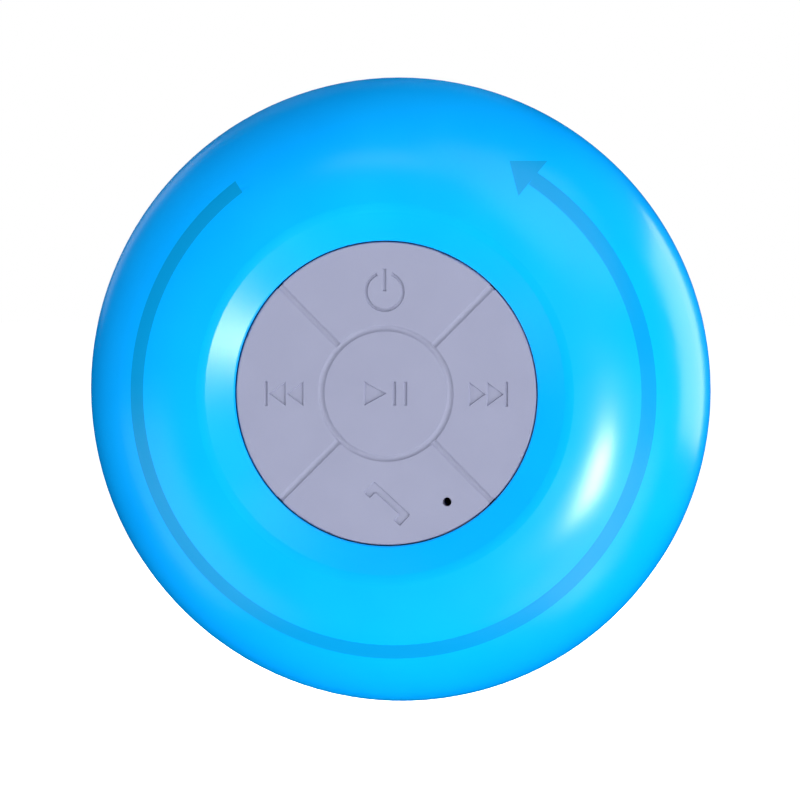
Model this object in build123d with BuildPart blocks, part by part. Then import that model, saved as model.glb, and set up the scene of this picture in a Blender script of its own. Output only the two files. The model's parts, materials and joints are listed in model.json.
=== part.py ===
"""A waterproof shower speaker that clings to a wall.

Two shells close round a small loudspeaker, a battery and a circuit board. The front carries a round pad
of five silicone keys sunk in a funnel. The back has sound slots and a bayonet socket that twists onto the
stud of a suction cup. The loudspeaker faces the wall.

Units are millimetres. The origin is the centre of the suction cup's rim, on the wall. +Y points into the
wall, the keys face -Y, and +Z is up, towards the power key. A height is a distance from the wall, so a
point at height h has Y = -h. A radius is measured from the Y axis.
"""

import os
from math import acos, asin, degrees, sqrt

from build123d import *

# ---------------------------------------------------------------- driving dimensions

# shells
body_diameter = 86.0        # the widest circle
overall_depth = 55.0        # from the wall to the crest round the keypad
dome_rise = 14.6            # from the widest circle to the crest
wall = 2.2
parting_drop = 3.4          # the shells meet this far behind the widest circle
back_height = 17.0          # the flat back of the rear shell
back_flat_radius = 18.0
crest_width = 4.5           # from the keypad's opening out to the crest
crest_reach = 2.9           # from the dome's centre out to the crest
crest_round = 3.0
funnel_drop = 1.4           # how far the funnel falls from the crest to the opening
parting_bevel = 0.25
arrow_width = 1.9
arrow_inset = 7.8           # from the widest circle in to the middle of the arrow's band
arrow_offset = (0.6, -0.15)     # the band is printed a little right of centre and below it
arrow_thickness = 0.25
arrow_head_width, arrow_head_length = 5.9, 4.0
arrow_head_lean = 3.4       # degrees, how far the head leans outwards off the band's direction

# keypad
keypad_radius = 20.65
keypad_gap = 0.15           # between the keys and the shell
centre_key_radius = 8.6
ring_groove = 0.55
diagonal_groove = 0.55
groove_clearance = 0.1      # between a key and the rib in its groove
cap_drop = 0.2              # the keys' faces lie this far behind the funnel's foot
cap_thickness = 2.2
cap_gap = 0.7               # under a cap, room for its stroke
sheet_thickness = 0.8
rib_drop = 0.25             # a groove's depth, down to the rib in it
floor_thickness = 1.8
key_edge_round = 0.25
key_post_radius = 1.6
key_travel = 0.4
icon_depth = 0.25
icon_slope = 30             # degrees off upright, the side of a sunk icon

# circuit board and what stands on it
board_radius = 24.0
board_thickness = 1.2
switch_body = 6.0
switch_body_height = 3.4
switch_height = 4.6         # to the plunger's top
plunger_radius = 1.7
microphone_radius = 2.0
microphone_height = 1.7
microphone_at = (8.4, -14.7)
sound_hole_radius = 0.62

# loudspeaker
driver_radius = 20.0
driver_lip = 0.8            # thickness of the frame's flange
gasket_thickness = 0.8
seat_rise = 6.2             # from the flat back up to the gasket's seat
cone_thickness = 0.35
coil_radius = 7.45
magnet_inset = 5.5          # from the frame's edge in to the magnet's

# battery and charging
battery_width, battery_thickness, battery_height = 30.0, 6.0, 17.0
battery_inset = 14.0        # from the widest circle in to the battery's outer face
port_drop = 5.25            # from the parting back to the middle of the charging opening
opening_width, opening_height = 11.0, 6.5
charge_board_width, charge_board_length, charge_board_thickness = 12.0, 10.5, 1.0

# fasteners
case_screw_inset = 10.0     # from the widest circle in to the case screws
case_screw_radius = 1.25
case_screw_length = 12.0
case_post_radius = 3.4
case_boss_radius = 4.2
driver_boss_radius = 2.2
board_post_radius = 2.3
charge_post_radius = 1.8
small_pilot_depth = 4.2
case_seat_drop = 5.0        # from the parting back to the seat of a case screw's head
small_screw_radius, small_screw_length = 1.0, 4.4
small_head_radius, small_head_height = 1.9, 1.1
charge_screw_radius = 0.8

# suction cup and bayonet
cup_radius = 30.0
cup_lip = 1.8               # width of the flat rim that seals on the wall
cup_hollow = 6.0            # depth of the hollow
cup_boss_radius = 9.5
cup_boss_height = 12.5
stud_radius = 4.95
stud_flange_radius = 7.0
stud_clearance = 0.05
lug_radius = 7.8
lug_width = 50              # degrees
bayonet_turn = 60           # degrees from locked to free
neck_radius = 10.8
neck_height = 14.0

# ---------------------------------------------------------------- derived places

body_radius = body_diameter / 2
opening_radius = keypad_radius + keypad_gap
crest_radius = opening_radius + crest_width
equator = overall_depth - dome_rise
parting = equator - parting_drop
funnel_foot = overall_depth - funnel_drop

cap_top = funnel_foot - cap_drop
cap_bottom = cap_top - cap_thickness
sheet_top = cap_bottom - cap_gap
floor_top = sheet_top - sheet_thickness
floor_bottom = floor_top - floor_thickness

switch_top = floor_bottom + 0.3
board_top = switch_top - switch_height
board_bottom = board_top - board_thickness
switch_circle = (centre_key_radius + ring_groove + keypad_radius) / 2 - 0.7
board_screw_circle = board_radius - 4.5
case_screw_circle = body_radius - case_screw_inset

seat = back_height + seat_rise
flange_bottom = seat + gasket_thickness
flange_top = flange_bottom + driver_lip
plate_bottom = flange_top + 4.7
magnet_bottom = plate_bottom + 1.5
yoke_bottom = magnet_bottom + 4.0
yoke_top = yoke_bottom + 2.0
driver_screw_circle = driver_radius + driver_boss_radius
magnet_radius = driver_radius - magnet_inset

battery_top = board_bottom - 0.6
battery_bottom = battery_top - battery_height
battery_outer = body_radius - battery_inset
battery_inner = battery_outer - battery_thickness
battery_middle = (battery_outer + battery_inner) / 2

port_height = parting - port_drop
switch_places = {
    "power": (0, switch_circle),
    "previous": (-switch_circle, 0),
    "play_pause": (0, 0),
    "next": (switch_circle, 0),
    "call": (0, -switch_circle),
}

# The dome and the bowl are quarter ellipses that meet at the widest circle.
dome_centre = crest_radius - crest_reach
dome_width = body_radius - dome_centre
dome_height = dome_rise / sqrt(1 - (crest_reach / dome_width) ** 2)
bowl_width = body_radius - back_flat_radius
bowl_height = equator - back_height

# Looking at the keys: x to the right, y up, and each offset is a height.
FACE = Plane.XZ
# A section through the axis: x is the radius, y the height. Its normal points down, to the charging port.
SECTION = Plane(origin=(0, 0, 0), x_dir=(1, 0, 0), z_dir=(0, 0, -1))
# A section upright through the middle: x is Z, y the height.
UPRIGHT = Plane(origin=(0, 0, 0), x_dir=(0, 0, 1), z_dir=(1, 0, 0))

LOW = (Align.MIN, Align.MIN)
ROUND = (Align.CENTER, Align.CENTER, Align.MIN)

os.makedirs("parts", exist_ok=True)


def save(piece, label):
    """Names a finished piece and writes it to its own file."""
    piece.part.label = label
    export_step(piece.part, f"parts/{label}.step")


def bowl_radius(height, inset=0.0):
    """Radius of the rear shell's outside at a height, or of a surface that lies inset inside it."""
    drop = (equator - height) / (bowl_height - inset)
    return back_flat_radius + (bowl_width - inset) * sqrt(1 - drop**2)


def band(inner, outer, low, high):
    """A rectangle in a section, between two radii and two heights."""
    with BuildSketch() as shape:
        with Locations((inner, low)):
            Rectangle(outer - inner, high - low, align=LOW)
    return shape.sketch


def sector(radius, middle, width):
    """A slice of a disc, centred on the direction middle and width degrees wide."""
    with BuildSketch() as shape:
        with BuildLine():
            rim = CenterArc((0, 0), radius, middle - width / 2, width)
            Polyline(rim @ 1, (0, 0), rim @ 0)
        make_face()
    return shape.sketch


def shell_section(inset, low, high):
    """Half the section of the closed body, shrunk by inset, from one height to another.

    Above the widest circle it follows the dome in to the crest, and then the funnel to the keypad's opening.
    """
    start = -degrees(asin(round((equator - low) / (bowl_height - inset), 9)))
    reach = degrees(acos(crest_reach / (dome_width - inset)))
    with BuildSketch() as shape:
        with BuildLine():
            bowl = EllipticalCenterArc(
                (back_flat_radius, equator), bowl_width - inset, bowl_height - inset,
                start_angle=start, arc_size=-start,
            )
            if high > equator:
                dome = EllipticalCenterArc(
                    (dome_centre, equator), dome_width - inset, dome_height - inset,
                    start_angle=0, arc_size=reach,
                )
                foot = (opening_radius, funnel_foot - inset)
                Polyline(dome @ 1, foot, (0, foot[1]), (0, low), bowl @ 0)
            else:
                Polyline(bowl @ 1, (0, equator), (0, low), bowl @ 0)
        make_face()
        with Locations((0, low)):
            Rectangle(body_radius, high - low, align=LOW, mode=Mode.INTERSECT)
    return shape.sketch


def screw(radius, length, head_radius, head_height):
    """A cross-head screw with its shank along +Z from the origin and its head below."""
    with BuildPart() as piece:
        Cylinder(radius, length, align=ROUND)
        chamfer(piece.edges().sort_by(Axis.Z)[-1], radius * 0.4)
        with BuildSketch(Plane.XY):
            Circle(head_radius)
        extrude(amount=-head_height)
        fillet(piece.edges().sort_by(Axis.Z)[0], head_height * 0.4)
        with BuildSketch(Plane.XY.offset(-head_height)):
            Rectangle(head_radius * 1.1, head_radius * 0.28)
            Rectangle(head_radius * 0.28, head_radius * 1.1)
        extrude(amount=head_height * 0.55, mode=Mode.SUBTRACT)
    return piece.part


# ---------------------------------------------------------------- suction cup and its stud

cavity_low = cup_hollow + 1.6
cavity_high = cavity_low + 2.0
hollow_radius = cup_radius - cup_lip
hollow_curve = (hollow_radius**2 + cup_hollow**2) / (2 * cup_hollow)

with BuildPart() as suction_cup:
    with BuildSketch(SECTION):
        with BuildLine():
            hollow = RadiusArc((0, cup_hollow), (hollow_radius, 0), hollow_curve)
            Polyline(
                hollow @ 1, (cup_radius, 0), (cup_radius, 1.0), (cup_boss_radius + 3.5, cavity_low),
                (cup_boss_radius, cavity_low + 0.5), (cup_boss_radius, cup_boss_height), (0, cup_boss_height),
                hollow @ 0,
            )
        make_face()
    revolve(axis=Axis.Y)
    fillet(suction_cup.edges().filter_by(GeomType.CIRCLE).filter_by(
        lambda e: abs(e.radius - cup_boss_radius) < 0.01 and -e.center().Y < cavity_high), 1.8)
    fillet(suction_cup.edges().filter_by(GeomType.CIRCLE).filter_by(
        lambda e: abs(e.radius - cup_boss_radius) < 0.01 and -e.center().Y > cavity_high), 0.5)
    # a tab at the top peels the cup off the wall
    with BuildSketch(FACE.offset(0.4)):
        with Locations((0, cup_radius - 1)):
            Rectangle(9, 5.5, align=(Align.CENTER, Align.MIN))
        with Locations((0, cup_radius + 4.5)):
            SlotOverall(9, 6)
    extrude(amount=1.4)
    with BuildSketch(FACE.offset(1.8)):
        with Locations((0, cup_radius + 2), (0, cup_radius + 3.6), (0, cup_radius + 5.2)):
            SlotOverall(5.5, 0.7)
    extrude(amount=0.4)
    # the socket that is moulded round the stud
    with BuildSketch(SECTION):
        add(band(0, stud_flange_radius, cavity_low, cavity_high))
        add(band(0, stud_radius, cavity_high, cup_boss_height + 1))
    revolve(axis=Axis.Y, mode=Mode.SUBTRACT)
save(suction_cup, "suction_cup")

lug_low = neck_height + 2.8
lug_high = lug_low + 2.0

with BuildPart() as cup_stud:
    with BuildSketch(SECTION):
        add(band(0, stud_flange_radius, cavity_low, cavity_high))
        add(band(0, stud_radius, cavity_high, lug_high + 0.6))
    revolve(axis=Axis.Y)
    chamfer(cup_stud.edges().sort_by(Axis.Y)[0], 0.5)
    with BuildSketch(FACE.offset(lug_low)):
        add(sector(lug_radius, 0, lug_width))
        add(sector(lug_radius, 180, lug_width))
    extrude(amount=lug_high - lug_low)
save(cup_stud, "cup_stud")

# ---------------------------------------------------------------- rear shell

slot_count = 24
slot_inner, slot_outer, slot_width = neck_radius + 2.0, driver_radius + 1.2, 1.5
slot_start = 7.5            # degrees, so that no slot runs under a screw boss
pocket_low = lug_low - 0.2
pocket_high = lug_high + 1.2
socket_top = pocket_high + 1.6
tongue_inner, tongue_outer = body_radius - 4.6, body_radius - wall - 0.2
tongue_top = parting + 2.8
seal_height = parting + 1.4
seal_section = 0.7
seal_radius = tongue_outer + 0.15 - seal_section
horn_foot = back_height + wall - 0.2
rim_inner = driver_radius - 1.8
case_seat = parting - case_seat_drop
charge_board_bottom = port_height - 2.25
charge_board_top = charge_board_bottom + charge_board_thickness
port_wall = bowl_radius(port_height)
charge_board_outer = port_wall - 4.7
charge_board_inner = charge_board_outer - charge_board_length
charge_screws = [(-4.4, -charge_board_inner - 1.7), (4.4, -charge_board_inner - 1.7)]
plug_recess = 1.2
plug_middle, plug_width, plug_height = 2.5, 19.0, 9.0
tether_x = plug_middle + plug_width / 2 - 2.4
tether_length = 11.5        # from the flange's face in to the barb's end
tether_radius, barb_radius, barb_length = 1.15, 1.8, 1.0


def plug_outline(clearance):
    """The plug's flange seen from below: a rounded bar over the opening and its tether's hole."""
    with BuildSketch() as shape:
        with Locations((plug_middle, port_height)):
            RectangleRounded(plug_width + 2 * clearance, plug_height + 2 * clearance, 2.4 + clearance)
    return shape.sketch


with BuildPart() as rear_room:
    # what is empty inside the rear shell: everything but the walls, bosses, horn and cradle
    with BuildSketch(SECTION):
        add(shell_section(wall, back_height + wall, parting))
    revolve(axis=Axis.Y)
    with BuildSketch(SECTION):
        add(band(0, neck_radius, back_height, socket_top))
        with BuildLine():
            Polyline(
                (driver_radius + 4.8, horn_foot), (driver_radius + 6.6, horn_foot), (driver_radius, seat),
                (rim_inner, seat), (driver_radius + 4.8, horn_foot),
            )
        make_face()
    revolve(axis=Axis.Y, mode=Mode.SUBTRACT)
    with BuildSketch(FACE.offset(back_height)):
        with PolarLocations(case_screw_circle, 4, start_angle=45):
            Circle(case_boss_radius)
    extrude(amount=parting - back_height, mode=Mode.SUBTRACT)
    with BuildSketch(FACE.offset(back_height)):
        with PolarLocations(driver_screw_circle, 3, start_angle=30):
            Circle(driver_boss_radius)
    extrude(amount=flange_bottom - back_height, mode=Mode.SUBTRACT)
    with BuildSketch(FACE.offset(back_height)):
        with Locations(*charge_screws):
            Circle(charge_post_radius)
    extrude(amount=charge_board_bottom - back_height, mode=Mode.SUBTRACT)
    # a cradle round the foot of the battery
    with BuildSketch(FACE.offset(back_height)):
        with Locations((0, battery_middle)):
            Rectangle(battery_width + 2.4, battery_thickness + 2.4)
    extrude(amount=battery_bottom + 5 - back_height, mode=Mode.SUBTRACT)

with BuildPart() as plug_skin:
    # the outermost layer of the bowl below the flange's outline
    with BuildSketch(SECTION):
        add(shell_section(-1, back_height + 4, parting))
        add(shell_section(plug_recess, back_height + 4, parting), mode=Mode.SUBTRACT)
    revolve(axis=Axis.Y)
    with BuildSketch(SECTION.offset(port_wall / 2)):
        add(plug_outline(0.15))
    extrude(amount=port_wall, mode=Mode.INTERSECT)

with BuildPart() as rear_shell:
    with BuildSketch(SECTION):
        add(shell_section(0, back_height, parting))
        add(band(0, neck_radius, neck_height, back_height + 1))
    revolve(axis=Axis.Y)
    fillet(rear_shell.edges().filter_by(GeomType.CIRCLE).filter_by(
        lambda e: abs(e.radius - neck_radius) < 0.01 and abs(e.center().Y + neck_height) < 0.01), 0.5)
    chamfer(rear_shell.edges().filter_by(GeomType.CIRCLE).filter_by(
        lambda e: abs(e.center().Y + parting) < 0.01), parting_bevel)
    add(rear_room.part, mode=Mode.SUBTRACT)
    # the tongue that enters the front shell, with a groove for the seal
    with BuildSketch(SECTION):
        add(band(tongue_inner, tongue_outer, parting - 4, tongue_top))
    revolve(axis=Axis.Y)
    with BuildSketch(SECTION):
        add(band(seal_radius - seal_section - 0.05, tongue_outer + 1, seal_height - 0.8, seal_height + 0.8))
    revolve(axis=Axis.Y, mode=Mode.SUBTRACT)
    # sound slots
    with BuildSketch(FACE.offset(back_height - 1)):
        with PolarLocations((slot_inner + slot_outer) / 2, slot_count, start_angle=slot_start):
            SlotOverall(slot_outer - slot_inner, slot_width)
    extrude(amount=wall + 2.2, mode=Mode.SUBTRACT)
    # counterbores and clearance holes for the case screws
    with BuildSketch(FACE.offset(neck_height)):
        with PolarLocations(case_screw_circle, 4, start_angle=45):
            Circle(case_boss_radius - 1.3)
    extrude(amount=case_seat - neck_height, mode=Mode.SUBTRACT)
    with BuildSketch(FACE.offset(case_seat)):
        with PolarLocations(case_screw_circle, 4, start_angle=45):
            Circle(case_screw_radius + 0.25)
    extrude(amount=case_seat_drop, mode=Mode.SUBTRACT)
    # pilot holes for the loudspeaker's and the charging board's screws
    with BuildSketch(FACE.offset(flange_bottom)):
        with PolarLocations(driver_screw_circle, 3, start_angle=30):
            Circle(small_screw_radius + 0.02)
    extrude(amount=-small_pilot_depth, mode=Mode.SUBTRACT)
    with BuildSketch(FACE.offset(charge_board_bottom)):
        with Locations(*charge_screws):
            Circle(charge_screw_radius + 0.02)
    extrude(amount=-small_pilot_depth, mode=Mode.SUBTRACT)
    # the pocket that holds the battery's foot
    with BuildSketch(FACE.offset(battery_bottom - 0.5)):
        with Locations((0, battery_middle)):
            Rectangle(battery_width + 0.4, battery_thickness + 0.4)
    extrude(amount=10, mode=Mode.SUBTRACT)
    # bayonet: the entry bore and its two gates, then the pocket that the lugs turn in
    with BuildSketch(FACE.offset(neck_height)):
        Circle(stud_radius + stud_clearance)
        add(sector(lug_radius + 0.4, -bayonet_turn, lug_width + 4))
        add(sector(lug_radius + 0.4, 180 - bayonet_turn, lug_width + 4))
    extrude(amount=pocket_low - neck_height, mode=Mode.SUBTRACT)
    with BuildSketch(FACE.offset(pocket_low)):
        Circle(stud_radius + 0.6)
        add(sector(lug_radius + 0.8, -bayonet_turn / 2, lug_width + bayonet_turn + 4))
        add(sector(lug_radius + 0.8, 180 - bayonet_turn / 2, lug_width + bayonet_turn + 4))
    extrude(amount=pocket_high - pocket_low, mode=Mode.SUBTRACT)
    # the charging opening, the hole for the plug's tether and the recess for its flange
    with BuildSketch(SECTION.offset(charge_board_outer)):
        with Locations((0, port_height)):
            RectangleRounded(opening_width, opening_height, 1.2)
        with Locations((tether_x, port_height)):
            Circle(tether_radius + 0.15)
    extrude(amount=10, mode=Mode.SUBTRACT)
    add(plug_skin.part, mode=Mode.SUBTRACT)
save(rear_shell, "rear_shell")

with BuildPart() as shell_seal:
    with BuildSketch(SECTION):
        with Locations((seal_radius, seal_height)):
            Circle(seal_section)
    revolve(axis=Axis.Y)
save(shell_seal, "shell_seal")

with BuildPart() as neck_washer:
    with BuildSketch(SECTION):
        add(band(stud_radius + 0.35, neck_radius - 0.7, cup_boss_height + 0.1, neck_height))
    revolve(axis=Axis.Y)
save(neck_washer, "neck_washer")

with BuildPart() as grille_mesh:
    # a fine metal mesh that lines the shell behind the slots
    with BuildSketch(SECTION):
        add(shell_section(wall, back_height + wall, equator))
        add(shell_section(wall + 0.3, back_height + wall + 0.3, equator), mode=Mode.SUBTRACT)
        add(band(neck_radius + 0.2, slot_outer + 0.5, back_height, parting), mode=Mode.INTERSECT)
    revolve(axis=Axis.Y)
    with BuildSketch(FACE.offset(back_height)):
        with PolarLocations(driver_screw_circle, 3, start_angle=30):
            Circle(driver_boss_radius + 0.1)
    extrude(amount=flange_bottom - back_height, mode=Mode.SUBTRACT)
save(grille_mesh, "grille_mesh")

case_screw = screw(case_screw_radius, case_screw_length, 2.4, 1.8)
with BuildPart() as case_screws:
    with Locations(FACE.offset(case_seat)):
        with PolarLocations(case_screw_circle, 4, start_angle=45):
            add(case_screw)
save(case_screws, "case_screws")

# ---------------------------------------------------------------- front shell and its arrow

arrow_radius = body_radius - arrow_inset
arrow_tail, arrow_sweep = 126.7, 290.0      # degrees, counter-clockwise from the tail to the head's shoulder

with BuildSketch() as arrow_outline:
    with BuildLine():
        inner_arc = CenterArc((0, 0), arrow_radius - arrow_width / 2, arrow_tail, arrow_sweep)
        outer_arc = CenterArc((0, 0), arrow_radius + arrow_width / 2, arrow_tail, arrow_sweep)
        Line(inner_arc @ 0, outer_arc @ 0)
        Line(inner_arc @ 1, outer_arc @ 1)
    make_face()
    # the head lies across the band's end and points on along it
    shoulder = (inner_arc @ 1 + outer_arc @ 1) / 2
    with Locations(Location(shoulder, arrow_tail + arrow_sweep + 90 - arrow_head_lean)):
        Polygon((0, arrow_head_width / 2), (0, -arrow_head_width / 2), (arrow_head_length, 0), align=None)

with BuildPart() as arrow_inlay:
    with BuildSketch(SECTION):
        add(shell_section(0, parting, overall_depth))
        add(shell_section(arrow_thickness, parting, overall_depth), mode=Mode.SUBTRACT)
    revolve(axis=Axis.Y)
    with BuildSketch(FACE.offset(equator)):
        with Locations(arrow_offset):
            add(arrow_outline.sketch)
    extrude(amount=dome_rise, mode=Mode.INTERSECT)
save(arrow_inlay, "arrow_inlay")

with BuildPart() as front_room:
    # what is empty inside the front shell: everything but the walls, the keypad's tray, posts and standoffs
    with BuildSketch(SECTION):
        add(shell_section(wall, parting, overall_depth))
        add(band(0, body_radius - wall, parting, equator))
        add(band(0, opening_radius + wall, floor_bottom, overall_depth), mode=Mode.SUBTRACT)
    revolve(axis=Axis.Y)
    with BuildSketch(FACE.offset(parting)):
        with PolarLocations(case_screw_circle, 4, start_angle=45):
            Circle(case_post_radius)
    extrude(amount=overall_depth - parting, mode=Mode.SUBTRACT)
    with BuildSketch(FACE.offset(board_top)):
        with PolarLocations(board_screw_circle, 4, start_angle=45):
            Circle(board_post_radius)
    extrude(amount=overall_depth - board_top, mode=Mode.SUBTRACT)

with BuildPart() as front_shell:
    with BuildSketch(SECTION):
        add(shell_section(0, parting, overall_depth))
    revolve(axis=Axis.Y)
    fillet(front_shell.edges().filter_by(GeomType.CIRCLE).filter_by(
        lambda e: abs(e.center().Y + overall_depth) < 0.01), crest_round)
    chamfer(front_shell.edges().filter_by(GeomType.CIRCLE).filter_by(
        lambda e: abs(e.center().Y + parting) < 0.01), parting_bevel)
    # the keypad's tray
    with BuildSketch(FACE.offset(floor_top)):
        Circle(opening_radius)
    extrude(amount=overall_depth - floor_top, mode=Mode.SUBTRACT)
    fillet(front_shell.edges().filter_by(GeomType.CIRCLE).filter_by(
        lambda e: abs(e.radius - opening_radius) < 0.01 and abs(e.center().Y + funnel_foot) < 0.01), 0.3)
    add(front_room.part, mode=Mode.SUBTRACT)
    add(arrow_inlay.part, mode=Mode.SUBTRACT)
    # holes for the keys' posts and the microphone
    with BuildSketch(FACE.offset(floor_bottom)):
        with Locations(*switch_places.values()):
            Circle(key_post_radius + 0.4)
        with Locations(microphone_at):
            Circle(sound_hole_radius + 0.2)
    extrude(amount=floor_thickness, mode=Mode.SUBTRACT)
    # pilot holes for the case screws and the board's screws
    with BuildSketch(FACE.offset(parting)):
        with PolarLocations(case_screw_circle, 4, start_angle=45):
            Circle(case_screw_radius + 0.02)
    extrude(amount=case_screw_length - case_seat_drop + 0.8, mode=Mode.SUBTRACT)
    with BuildSketch(FACE.offset(board_top)):
        with PolarLocations(board_screw_circle, 4, start_angle=45):
            Circle(small_screw_radius + 0.02)
    extrude(amount=3.6, mode=Mode.SUBTRACT)
save(front_shell, "front_shell")

# ---------------------------------------------------------------- keypad

groove_outer = centre_key_radius + ring_groove

with BuildPart() as keypad_sheet:
    with BuildSketch(FACE.offset(floor_top)):
        Circle(keypad_radius + 0.1)
    extrude(amount=sheet_thickness)
    # ribs stand in the grooves between the keys
    with BuildSketch(FACE.offset(sheet_top)):
        Rectangle(3 * keypad_radius, diagonal_groove - 2 * groove_clearance, rotation=45)
        Rectangle(3 * keypad_radius, diagonal_groove - 2 * groove_clearance, rotation=-45)
        Circle(keypad_radius - 0.1, mode=Mode.INTERSECT)
        Circle(groove_outer - groove_clearance)
        Circle(centre_key_radius + groove_clearance, mode=Mode.SUBTRACT)
    extrude(amount=cap_top - rib_drop - sheet_top)
    with BuildSketch(FACE.offset(floor_top)):
        with Locations(*switch_places.values()):
            Circle(key_post_radius + 0.3)
        with Locations(microphone_at):
            Circle(sound_hole_radius + 0.2)
    extrude(amount=sheet_thickness, mode=Mode.SUBTRACT)
save(keypad_sheet, "keypad_sheet")


def outer_key(middle):
    """The outline of one of the four keys round the centre key, centred on the direction middle."""
    corner = diagonal_groove / sqrt(2)
    reach = 2 * keypad_radius
    with BuildSketch() as shape:
        Circle(keypad_radius)
        Circle(groove_outer, mode=Mode.SUBTRACT)
        Polygon((corner, 0), (corner + reach, reach), (corner + reach, -reach), rotation=middle, align=None,
                mode=Mode.INTERSECT)
        fillet(shape.vertices(), 0.4)
    return shape.sketch


def triangle(width, height):
    """A triangle that points right, with its upright side on the y axis."""
    with BuildSketch() as shape:
        Polygon((0, height / 2), (width, 0), (0, -height / 2), align=None)
    return shape.sketch


with BuildSketch() as power_icon:
    Circle(2.8)
    Circle(2.3, mode=Mode.SUBTRACT)
    add(sector(4, 90, 46), mode=Mode.SUBTRACT)
    Rectangle(0.55, 3.14, align=(Align.CENTER, Align.MIN))

with BuildSketch() as play_pause_icon:
    with Locations((-3.0, 0)):
        add(triangle(3.1, 3.4))
    with Locations((1.17, 0), (2.7, 0)):
        Rectangle(0.5, 3.3)

with BuildSketch() as next_icon:
    with Locations((-2.65, 0), (-0.2, 0)):
        add(triangle(2.35, 3.4))
    with Locations((2.5, 0)):
        Rectangle(0.42, 3.4)

with BuildSketch() as previous_icon:
    mirror(next_icon.sketch, about=Plane.YZ)

with BuildSketch() as call_icon:
    Rectangle(6.8, 2.2)
    with Locations((0, -1.1)):
        Rectangle(4.4, 1.1, align=(Align.CENTER, Align.MIN), mode=Mode.SUBTRACT)
    fillet(call_icon.vertices(), 0.3)


def key(outline, icon, place, turn=0.0, aside=(0.0, 0.0)):
    """A key with rounded edges, an icon sunk in its face and a post down to its switch."""
    with BuildPart() as cap:
        with BuildSketch(FACE.offset(cap_bottom)):
            add(outline)
        extrude(amount=cap_thickness)
        fillet(cap.faces().sort_by(Axis.Y)[0].edges(), key_edge_round)
        with BuildSketch(FACE.offset(cap_top)):
            with Locations(Location((place[0] + aside[0], place[1] + aside[1], 0), turn)):
                add(icon)
        extrude(amount=-icon_depth, taper=icon_slope, mode=Mode.SUBTRACT)
        with BuildSketch(FACE.offset(switch_top)):
            with Locations(place):
                Circle(key_post_radius)
        extrude(amount=cap_bottom - switch_top)
    return cap


with BuildSketch() as centre_outline:
    Circle(centre_key_radius)

key_power = key(outer_key(90), power_icon.sketch, switch_places["power"], aside=(-0.2, -0.3))
save(key_power, "key_power")

key_previous = key(outer_key(180), previous_icon.sketch, switch_places["previous"], aside=(0.2, -0.1))
save(key_previous, "key_previous")

key_play_pause = key(centre_outline.sketch, play_pause_icon.sketch, switch_places["play_pause"])
save(key_play_pause, "key_play_pause")

key_next = key(outer_key(0), next_icon.sketch, switch_places["next"], aside=(-0.15, 0))
save(key_next, "key_next")

with BuildPart() as key_call:
    # the handset leans, and the microphone listens through a hole beside it
    add(key(outer_key(-90), call_icon.sketch, switch_places["call"], turn=-42.3, aside=(0.15, -0.8)).part)
    with BuildSketch(FACE.offset(cap_bottom)):
        with Locations(microphone_at):
            Circle(sound_hole_radius)
    extrude(amount=cap_thickness, mode=Mode.SUBTRACT)
save(key_call, "key_call")

# ---------------------------------------------------------------- circuit board

with BuildPart() as circuit_board:
    with BuildSketch(FACE.offset(board_bottom)):
        Circle(board_radius)
        with PolarLocations(board_screw_circle, 4, start_angle=45):
            Circle(small_screw_radius + 0.15, mode=Mode.SUBTRACT)
    extrude(amount=board_thickness)
save(circuit_board, "circuit_board")

small_screw = screw(small_screw_radius, small_screw_length, small_head_radius, small_head_height)
with BuildPart() as board_screws:
    with Locations(FACE.offset(board_bottom)):
        with PolarLocations(board_screw_circle, 4, start_angle=45):
            add(small_screw)
save(board_screws, "board_screws")


def push_switch(place):
    """The square body of a push switch, with a bore that its plunger slides in."""
    with BuildPart() as body:
        with BuildSketch(FACE.offset(board_top)):
            with Locations(place):
                RectangleRounded(switch_body, switch_body, 0.4)
        extrude(amount=switch_body_height)
        with BuildSketch(FACE.offset(board_top + switch_body_height)):
            with Locations(place):
                Circle(plunger_radius + 0.1)
        extrude(amount=-2.0, mode=Mode.SUBTRACT)
    return body


def plunger(place):
    """The round button of a push switch, under a key's post."""
    with BuildPart() as button:
        with BuildSketch(FACE.offset(switch_top)):
            with Locations(place):
                Circle(plunger_radius)
        extrude(amount=-(switch_height - switch_body_height + 2.0 - key_travel - 0.2))
    return button


for use, place in switch_places.items():
    save(push_switch(place), f"switch_{use}")
    save(plunger(place), f"plunger_{use}")

with BuildPart() as microphone:
    with BuildSketch(FACE.offset(board_top)):
        with Locations(microphone_at):
            Circle(microphone_radius)
    extrude(amount=microphone_height)
    with BuildSketch(FACE.offset(board_top + microphone_height)):
        with Locations(microphone_at):
            Circle(sound_hole_radius)
    extrude(amount=-0.5, mode=Mode.SUBTRACT)
save(microphone, "microphone")

with BuildPart() as microphone_boot:
    # a rubber sleeve from the board up to the tray's floor keeps the loudspeaker's sound out
    with BuildSketch(FACE.offset(board_top)):
        with Locations(microphone_at):
            Circle(microphone_radius + 0.7)
    extrude(amount=floor_bottom - board_top)
    with BuildSketch(FACE.offset(board_top)):
        with Locations(microphone_at):
            Circle(microphone_radius + 0.02)
    extrude(amount=microphone_height + 0.02, mode=Mode.SUBTRACT)
    with BuildSketch(FACE.offset(board_top)):
        with Locations(microphone_at):
            Circle(sound_hole_radius + 0.2)
    extrude(amount=floor_bottom - board_top, mode=Mode.SUBTRACT)
save(microphone_boot, "microphone_boot")

with BuildPart() as radio_module:
    with BuildSketch(FACE.offset(board_bottom)):
        with Locations((0, -6.5)):
            Rectangle(14, 10)
    extrude(amount=-0.8)
    with BuildSketch(FACE.offset(board_bottom - 0.8)):
        with Locations((1.5, -6.5)):
            RectangleRounded(9.5, 8.5, 0.5)
    extrude(amount=-1.2)
save(radio_module, "radio_module")

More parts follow.
